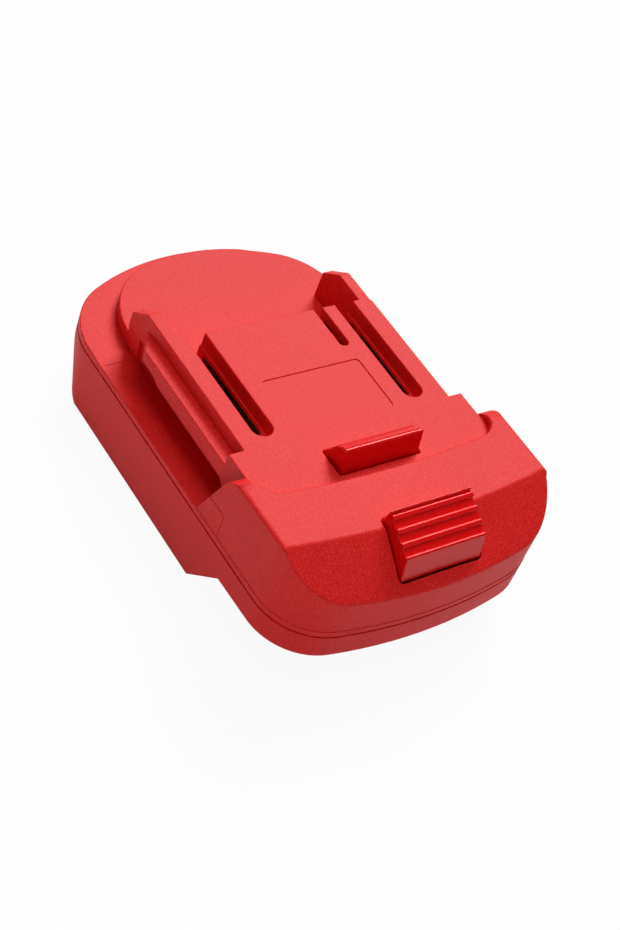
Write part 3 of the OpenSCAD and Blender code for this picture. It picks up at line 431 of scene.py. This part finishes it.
@dataclass
class MouldedPiece:
    """A moulded CAD node, shown as a copy with softly rounded edges.

    Attributes:
        node: The node that the piece stands for.
        body: The body that it rides on.
        finish: Its finish.
        merge_gap: Points nearer than this are one.
        flat_angle: Triangles that meet at less than this many degrees become one face.
        sharp_angle: Edges that turn by less than this many degrees aren't rounded.
        crease_angle: Edges that turn by more than this many degrees stay sharp in the shading.
        ray_lift: How far above an edge the look outwards starts.
        clear_way: An edge with nothing in front of it for this far is an outer one.
        room_share: The most of a face's reach that a rounding may take.
        rounding_steps: Faces across a rounding.
        normal_weight: How much the large faces lead the shading.
        aligned: Share of a direction along an axis from which it counts as lying along it.
        near: Distance within which two places are the same.
    """

    node: str
    body: Body
    finish: Finish
    merge_gap: float = 0.002
    flat_angle: float = 0.05
    sharp_angle: float = 24.0
    crease_angle: float = 33.0
    ray_lift: float = 0.05
    clear_way: float = 14.0
    room_share: float = 0.45
    rounding_steps: int = 3
    normal_weight: int = 60
    aligned: float = 0.9
    near: float = 0.06

    def edge_kind(self, edge: OuterEdge) -> Edge:
        """Says how an outer edge is rounded.

        Args:
            edge: The edge, which is not used here.

        Returns:
            The kind of edge.
        """
        return Edge.PLAIN

    def split(self, maker: bmesh.types.BMesh) -> None:
        """Divides edges whose rounding changes along their length; a plain piece has none."""

    def build(self) -> bpy.types.Object:
        """Builds the softened copy, dresses it and lets it stand for its node.

        Returns:
            The piece.
        """
        made = plain_object(self.node + "_moulded", self.marked_mesh())
        self.round_edges(made)
        made.data.materials.clear()
        made.data.materials.append(self.finish.material())
        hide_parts(self.node)
        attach(made, self.body.value)
        log.info("%s: %d faces", made.name, len(made.data.polygons))
        return made

    def marked_mesh(self) -> bpy.types.Mesh:
        """Copies the node's mesh, merges its triangles into flat faces and marks its outer edges.

        Returns:
            The mesh, with a bevel weight on each edge that is to be rounded.
        """
        maker = bmesh.new()
        maker.from_mesh(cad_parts[self.node].data)
        bmesh.ops.remove_doubles(maker, verts=maker.verts, dist=self.merge_gap * MM)
        bmesh.ops.dissolve_limit(
            maker, angle_limit=math.radians(self.flat_angle), verts=maker.verts, edges=maker.edges
        )
        for face in maker.faces:
            face.smooth = True
        self.split(maker)
        self.weigh_edges(maker)
        mesh = bpy.data.meshes.new(self.node + "_moulded")
        maker.to_mesh(mesh)
        maker.free()
        return mesh

    def weigh_edges(self, maker: bmesh.types.BMesh) -> None:
        """Marks the outer convex edges with the share of the widest rounding that each takes.

        Args:
            maker: The mesh to mark.
        """
        weight = maker.edges.layers.float.new("bevel_weight_edge")
        maker.normal_update()
        tree = BVHTree.FromBMesh(maker)
        for edge in maker.edges:
            if len(edge.link_faces) != 2 or edge.calc_face_angle(0.0) < math.radians(self.sharp_angle):
                continue
            if not edge.is_convex:
                continue
            start, end = (vert.co for vert in edge.verts)
            normals = tuple(face.normal for face in edge.link_faces)
            middle = (start + end) / 2
            outward = (normals[0] + normals[1]).normalized()
            lifted = middle + outward * self.ray_lift * MM
            if tree.ray_cast(lifted, outward, self.clear_way * MM)[0] is not None:
                continue
            kind = self.edge_kind(OuterEdge(middle / MM, (end - start).normalized(), normals))
            edge[weight] = min(kind.value, self.room_share * self.room(edge) / MM) / Edge.TRAY_RIM.value

    @staticmethod
    def room(edge: bmesh.types.BMEdge) -> float:
        """Measures how far the narrower of an edge's two faces reaches from it.

        Args:
            edge: An edge between two faces.

        Returns:
            The reach in metres.
        """
        start = edge.verts[0].co
        along = (edge.verts[1].co - start).normalized()
        corners = [[vert.co - start for vert in face.verts] for face in edge.link_faces]
        return min(max(corner.cross(along).length for corner in face) for face in corners)

    def round_edges(self, made: bpy.types.Object) -> None:
        """Rounds the marked edges and evens the shading of the faces between them.

        Args:
            made: The object with the marked mesh.
        """
        bevel = made.modifiers.new("edges", "BEVEL")
        bevel.limit_method = "WEIGHT"
        bevel.width = Edge.TRAY_RIM.value * MM
        bevel.segments = self.rounding_steps
        bevel.use_clamp_overlap = False
        bevel.loop_slide = False
        applied(made)
        made.data.set_sharp_from_angle(angle=math.radians(self.crease_angle))
        even = made.modifiers.new("normals", "WEIGHTED_NORMAL")
        even.mode = "FACE_AREA_WITH_ANGLE"
        even.weight = self.normal_weight
        even.keep_sharp = True
        applied(made)


@dataclass
class CaseShell(MouldedPiece):
    """One of the two shells that meet at the parting line.

    Attributes:
        parting_z: Height of the parting plane.
        seam_half: Half the height of the band that holds the groove.
    """

    parting_z: float = 17.2
    seam_half: float = 0.3

    def on_seam(self, edge: OuterEdge) -> bool:
        """Tells whether an edge belongs to the groove along the parting line."""
        return abs(edge.middle.z - self.parting_z) < self.seam_half


@dataclass
class UpperShell(CaseShell):
    """The upper case with the deck, the tool rails and the nose.

    Attributes:
        ledge_z: Height of the ledge beside the rails.
        plateau_z: Height of the rear plateau at the mould line.
        rear_rise: How much the ledge and the plateau climb to the rear, per unit of length.
        mould_line_y: Where the ledge starts to climb.
        nose_foot_y: Where the nose rises from the ledge.
        nose_crown_y: Rear limit of the rounded front of the nose.
        nose_side_x: Half width beyond which the nose's top corners are left to the solid.
        nose_side_z: Height above which they are.
        window_x: Half width round the button's window.
        window_y: Rear limit of the nose's front edge below that window.
        shoulder_x: Half width outside which the shoulders' small steps lie.
        shoulder_y: Where those steps lie.
        deck_z: Height of the deck.
        deck_front_y: Where the deck runs into the nose.
        low_wall: Walls lower than this above the deck keep a sharp rim.
        upright: Upward share below which a face counts as a wall.
    """

    ledge_z: float = 18.95
    plateau_z: float = 22.65
    rear_rise: float = 0.06
    mould_line_y: float = 30.4
    nose_foot_y: float = -15.0
    nose_crown_y: float = -40.0
    nose_side_x: float = 36.5
    nose_side_z: float = 36.0
    window_x: float = 12.1
    window_y: float = -58.0
    shoulder_x: float = 33.2
    shoulder_y: float = -15.3
    deck_z: float = DECK_Z
    deck_front_y: float = -20.0
    low_wall: float = 1.2
    upright: float = 0.1

    def split(self, maker: bmesh.types.BMesh) -> None:
        """Divides the rim of the ledge where the nose leaves only a narrow flange.

        Args:
            maker: The mesh to divide.
        """
        parts = maker.verts[:] + maker.edges[:] + maker.faces[:]
        foot = (0.0, self.nose_foot_y * MM, 0.0)
        bmesh.ops.bisect_plane(maker, geom=parts, plane_co=foot, plane_no=(0.0, 1.0, 0.0))

    def edge_kind(self, edge: OuterEdge) -> Edge:
        """Says how an outer edge of the upper case is rounded.

        Args:
            edge: The edge.

        Returns:
            The kind of edge.
        """
        middle = edge.middle
        rise = self.rear_rise * (middle.y - self.mould_line_y)
        behind_nose = middle.y > self.nose_foot_y
        round_a_top = edge.most_up() > self.aligned
        if self.on_seam(edge):
            return Edge.SEAM
        if round_a_top and abs(middle.z - self.plateau_z - rise) < self.near and behind_nose:
            return Edge.PLATEAU_RIM
        if round_a_top and abs(middle.z - self.ledge_z - max(rise, 0.0)) < self.near:
            return Edge.LEDGE_RIM if behind_nose and edge.least_up() < self.upright else Edge.SHARP
        if middle.z > self.nose_side_z and abs(middle.x) > self.nose_side_x:
            return Edge.SHARP
        if abs(middle.y - self.shoulder_y) < self.near and abs(middle.x) > self.shoulder_x:
            return Edge.SHARP
        if middle.y < self.nose_crown_y and (abs(middle.x) > self.window_x or middle.y < self.window_y):
            return Edge.NOSE
        if middle.y < self.deck_front_y and middle.z > self.deck_z + self.near:
            return Edge.RECESS_RIM if middle.z > self.deck_z + self.low_wall else Edge.SHARP
        return Edge.PLAIN


@dataclass
class LowerShell(CaseShell):
    """The lower case with the skirt, the battery bay and the nose tray.

    Attributes:
        keel_z: Height of the nose tray's underside.
        screws_x: Half width inside which the tray's edges are screw holes and the skirt's front.
        screws_y: Rear limit of the tray's outer front edge.
    """

    keel_z: float = 9.8
    screws_x: float = 33.0
    screws_y: float = -48.0

    def edge_kind(self, edge: OuterEdge) -> Edge:
        """Says how an outer edge of the lower case is rounded.

        Args:
            edge: The edge.

        Returns:
            The kind of edge.
        """
        middle = edge.middle
        if self.on_seam(edge):
            return Edge.SEAM
        if edge.least_up() > -self.aligned or middle.z > self.keel_z + self.near:
            return Edge.PLAIN
        if middle.z < self.keel_z - self.near:
            return Edge.SKIRT_RIM
        return Edge.TRAY_RIM if abs(middle.x) > self.screws_x or middle.y < self.screws_y else Edge.PLAIN


@dataclass
class ReleaseLatch(MouldedPiece):
    """The hook and the ribbed button, one glossy moulding.

    Attributes:
        hook_y: Front limit of the hook.
        button_y: Rear limit of the button.
        deck_z: Height of the deck.
    """

    hook_y: float = -32.0
    button_y: float = -50.0
    deck_z: float = DECK_Z

    def edge_kind(self, edge: OuterEdge) -> Edge:
        """Says how an outer edge of the latch is rounded.

        Args:
            edge: The edge.

        Returns:
            The kind of edge.
        """
        middle = edge.middle
        if middle.y > self.hook_y and middle.z > self.deck_z:
            return Edge.HOOK
        if middle.z < self.deck_z:
            return Edge.PLAIN if middle.y < self.button_y else Edge.SHARP
        return Edge.RIB if abs(edge.along.x) > self.aligned else Edge.RIB_END


@dataclass
class LatchSpring:
    """A coil spring that lifts one side of the latch.

    Attributes:
        side: The side that it stands on.
        finish: Its finish.
        turns: Turns of the coil.
        wire: Radius of the wire.
        turn_points: Points along each turn.
        wire_points: Points round the wire.
    """

    side: Side
    finish: Finish = SPRING_STEEL
    turns: float = 9.0
    wire: float = 0.35
    turn_points: int = 24
    wire_points: int = 10

    def tree(self, material: bpy.types.Material) -> bpy.types.NodeTree:
        """Builds the coil's node tree.

        Args:
            material: The wire's material.

        Returns:
            A Geometry Nodes tree with inputs for the coil's sizes.
        """
        tree = bpy.data.node_groups.new("coil_" + self.side.value, "GeometryNodeTree")
        for label in ("Radius", "Height", "Turns", "Wire"):
            tree.interface.new_socket(label, in_out="INPUT", socket_type="NodeSocketFloat")
        tree.interface.new_socket("Place", in_out="INPUT", socket_type="NodeSocketVector")
        tree.interface.new_socket("Geometry", in_out="OUTPUT", socket_type="NodeSocketGeometry")
        bench = NodeBench(tree)
        ins = bench.add("NodeGroupInput").outputs
        coil = bench.add("GeometryNodeCurveSpiral", Resolution=self.turn_points)
        for label in ("Start Radius", "End Radius"):
            bench.join(ins["Radius"], coil.inputs[label])
        bench.join(ins["Height"], coil.inputs["Height"])
        bench.join(ins["Turns"], coil.inputs["Rotations"])
        section = bench.add("GeometryNodeCurvePrimitiveCircle", Resolution=self.wire_points)
        bench.join(ins["Wire"], section.inputs["Radius"])
        wire = bench.add("GeometryNodeCurveToMesh", Fill_Caps=True)
        bench.join(coil.outputs["Curve"], wire.inputs["Curve"])
        bench.join(section.outputs["Curve"], wire.inputs["Profile Curve"])
        placed = bench.add("GeometryNodeTransform")
        bench.join(wire.outputs["Mesh"], placed.inputs["Geometry"])
        bench.join(ins["Place"], placed.inputs["Translation"])
        smooth = bench.add("GeometryNodeSetShadeSmooth")
        bench.join(placed.outputs["Geometry"], smooth.inputs["Geometry"])
        real = bench.add("GeometryNodeRealizeInstances")
        bench.join(smooth.outputs["Geometry"], real.inputs["Geometry"])
        dressed = bench.add("GeometryNodeSetMaterial", Material=material)
        bench.join(real.outputs["Geometry"], dressed.inputs["Geometry"])
        bench.join(dressed.outputs["Geometry"], bench.add("NodeGroupOutput").inputs["Geometry"])
        return tree

    def build(self) -> bpy.types.Object:
        """Builds the coil in its node's place and fixes it to the case.

        Returns:
            The piece.
        """
        node = "latch_spring_" + self.side.value
        low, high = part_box(node)
        wire = self.wire * MM
        height = high.z - low.z
        x = (low.x + high.x) / 2
        y = (low.y + high.y) / 2
        sizes = {
            "Radius": (high.x - low.x) / 2 - wire,
            "Height": height - 2 * wire,
            "Turns": self.turns,
            "Wire": wire,
            "Place": (x, y, low.z + wire),
        }
        made = plain_object(node + "_coil", bpy.data.meshes.new(node + "_coil"))
        coil = made.modifiers.new("coil", "NODES")
        coil.node_group = self.tree(self.finish.material())
        for item in coil.node_group.interface.items_tree:
            if item.in_out == "INPUT":
                coil[item.identifier] = sizes[item.name]
        applied(made)
        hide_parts(node)
        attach(made, Body.CASE.value)
        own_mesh(made)
        log.info("%s: %d faces", made.name, len(made.data.polygons))
        return made


@dataclass
class FittedPieces:
    """CAD nodes whose shape is right and that only take a finish.

    Attributes:
        finish: The finish.
        nodes: The nodes that take it.
    """

    finish: Finish
    nodes: tuple[str, ...]

    def dress(self) -> None:
        """Gives the nodes their material."""
        material = self.finish.material()
        for node in self.nodes:
            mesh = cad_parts[node].data
            mesh.materials.clear()
            mesh.materials.append(material)
            log.info("%s takes %s", node, self.finish.name)


@dataclass
class PhotoCamera:
    """The camera at the photograph's viewing angle.

    Attributes:
        place: Where it stands.
        azimuth: Its turn about the vertical, in degrees.
        elevation: How far it looks down, in degrees.
        roll: Its turn about its own axis, in degrees.
        lens: Focal length.
        sensor: Width of the sensor.
        nearest: Nearest distance that it shows.
        farthest: Farthest distance that it shows.
    """

    place: Place = (-236.30, -213.04, 311.00)
    azimuth: float = -49.23
    elevation: float = 43.63
    roll: float = 23.15
    lens: float = 69.43
    sensor: float = 36.0
    nearest: float = 10.0
    farthest: float = 20000.0

    def build(self) -> bpy.types.Object:
        """Makes the scene's camera.

        Returns:
            The camera object.
        """
        data = bpy.data.cameras.new("photo_camera")
        data.lens = self.lens
        data.sensor_width = self.sensor
        data.clip_start = self.nearest * MM
        data.clip_end = self.farthest * MM
        camera = plain_object("photo_camera", data)
        tilt = Euler((math.radians(90.0 - self.elevation), 0.0, math.radians(self.azimuth))).to_matrix()
        turn = Matrix.Rotation(math.radians(self.roll), 3, "Z")
        camera.matrix_world = Matrix.Translation(Vector(self.place) * MM) @ (tilt @ turn).to_4x4()
        bpy.context.scene.camera = camera
        return camera


@dataclass(frozen=True)
class Lamp:
    """A soft square lamp that points at the object.

    Attributes:
        name: The lamp's name.
        place: Where it hangs, in metres.
        width: Its width in metres.
        watts: Its power.
        colour: Its colour.
    """

    name: str
    place: Place
    width: float
    watts: float
    colour: Colour = WHITE

    def hang(self) -> bpy.types.Object:
        """Adds the lamp to the scene.

        Returns:
            The lamp object.
        """
        data = bpy.data.lights.new(self.name, "AREA")
        data.size = self.width
        data.energy = self.watts
        data.color = self.colour
        made = plain_object(self.name, data)
        made.location = self.place
        made.rotation_euler = Vector(self.place).to_track_quat("Z", "Y").to_euler()
        return made


KEY_LAMP = Lamp("key", (2.05, 1.95, 2.8), 1.8, 146.0)
TOP_LAMP = Lamp("top", (-0.03, -0.05, 0.42), 0.2, 0.56)
LOW_LAMP = Lamp("low", (-0.90, -0.74, 0.06), 0.5, 3.0, WARM_WHITE)


@dataclass
class Studio:
    """A pale floor, a white surround and soft lamps.

    Attributes:
        floor_size: Length of the square floor's sides, in metres.
        floor_white: Grey value of the floor.
        shadow_share: How much of the floor's own shading the eye sees.
        zenith: Light from straight above.
        horizon: Light from all round.
        sky_power: How fast the light falls off from the zenith.
        lamps: The lamps.
    """

    floor_size: float = 8.0
    floor_white: float = 0.9
    shadow_share: float = 0.06
    zenith: float = 0.2
    horizon: float = 0.02
    sky_power: float = 3.0
    lamps: tuple[Lamp, ...] = (KEY_LAMP, TOP_LAMP, LOW_LAMP)

    def floor(self) -> bpy.types.Object:
        """Makes the floor, which shows white with a faint shadow.

        Returns:
            The floor object.
        """
        half = self.floor_size / 2
        mesh = bpy.data.meshes.new("floor")
        corners = [(-half, -half, 0), (half, -half, 0), (half, half, 0), (-half, half, 0)]
        mesh.from_pydata(corners, [], [(0, 1, 2, 3)])
        mesh.materials.append(self.floor_material())
        made = plain_object("floor", mesh)
        return made

    def floor_material(self) -> bpy.types.Material:
        """Builds a matt white that the eye and mirrors see as nearly even white.

        Returns:
            The floor's material.
        """
        material = bpy.data.materials.new("floor_white")
        material.use_nodes = True
        nodes = material.node_tree.nodes
        bench = NodeBench(material.node_tree)
        shader = nodes["Principled BSDF"]
        shader.inputs["Base Color"].default_value = (self.floor_white,) * 3 + (1.0,)
        shader.inputs["Roughness"].default_value = 1.0
        shader.inputs["Specular IOR Level"].default_value = 0.0
        glow = bench.add("ShaderNodeEmission")
        rays = bench.add("ShaderNodeLightPath").outputs
        seen = bench.maths("MAXIMUM", rays["Is Camera Ray"], rays["Is Glossy Ray"])
        seen = bench.maths("MAXIMUM", seen, rays["Is Transmission Ray"])
        mix = bench.add("ShaderNodeMixShader")
        bench.join(bench.maths("MULTIPLY", seen, 1.0 - self.shadow_share), mix.inputs["Fac"])
        bench.join(shader.outputs["BSDF"], mix.inputs[1])
        bench.join(glow.outputs["Emission"], mix.inputs[2])
        bench.join(mix.outputs["Shader"], nodes["Material Output"].inputs["Surface"])
        return material

    def world(self) -> None:
        """Sets the surround: white to the eye, and as light bright above and dim at the horizon."""
        world = bpy.data.worlds.new("surround")
        world.use_nodes = True
        bpy.context.scene.world = world
        bench = NodeBench(world.node_tree)
        back = world.node_tree.nodes["Background"]
        back.inputs["Color"].default_value = WHITE + (1.0,)
        rays = bench.add("ShaderNodeLightPath").outputs
        seen = bench.maths("MAXIMUM", rays["Is Camera Ray"], rays["Is Transmission Ray"])
        place = bench.add("ShaderNodeSeparateXYZ")
        bench.join(bench.add("ShaderNodeTexCoord").outputs["Generated"], place.inputs["Vector"])
        rise = bench.maths("POWER", bench.maths("MAXIMUM", place.outputs["Z"], 0.0), self.sky_power)
        sky = bench.maths("ADD", bench.maths("MULTIPLY", rise, self.zenith), self.horizon)
        bench.join(bench.maths("MAXIMUM", seen, sky), back.inputs["Strength"])

    def build(self) -> None:
        """Makes the floor, the surround and the lamps."""
        self.floor()
        self.world()
        for lamp in self.lamps:
            lamp.hang()


def main() -> None:
    """Builds the camera, the studio and the adapter's pieces in order."""
    logging.basicConfig(level=logging.INFO, format="%(message)s")
    bpy.context.scene.view_settings.view_transform = "Standard"
    PhotoCamera().build()
    Studio().build()
    UpperShell("upper_shell", Body.CASE, SHELL_RED).build()
    LowerShell("lower_shell", Body.CASE, SHELL_RED).build()
    ReleaseLatch("release_latch", Body.LATCH, LATCH_RED).build()
    for side in Side:
        LatchSpring(side).build()
    FittedPieces(INSULATOR_BLACK, ("terminal_carrier", "battery_terminal_block")).dress()
    FittedPieces(CONTACT_BRASS, ("contact_positive", "contact_negative", "contact_signal")).dress()
    FittedPieces(BLADE_PLATED, ("blade_positive", "blade_negative", "blade_signal")).dress()
    FittedPieces(LEAD_RED, ("lead_positive",)).dress()
    FittedPieces(LEAD_BLACK, ("lead_negative",)).dress()
    FittedPieces(LEAD_WHITE, ("lead_signal",)).dress()
    FittedPieces(SLEEVE_RED, ("sleeves_positive",)).dress()
    FittedPieces(SLEEVE_BLACK, ("sleeves_negative", "sleeves_signal")).dress()
    FittedPieces(SCREW_STEEL, ("case_screws", "carrier_screws", "block_screws")).dress()


if __name__ == "__main__":
    main()
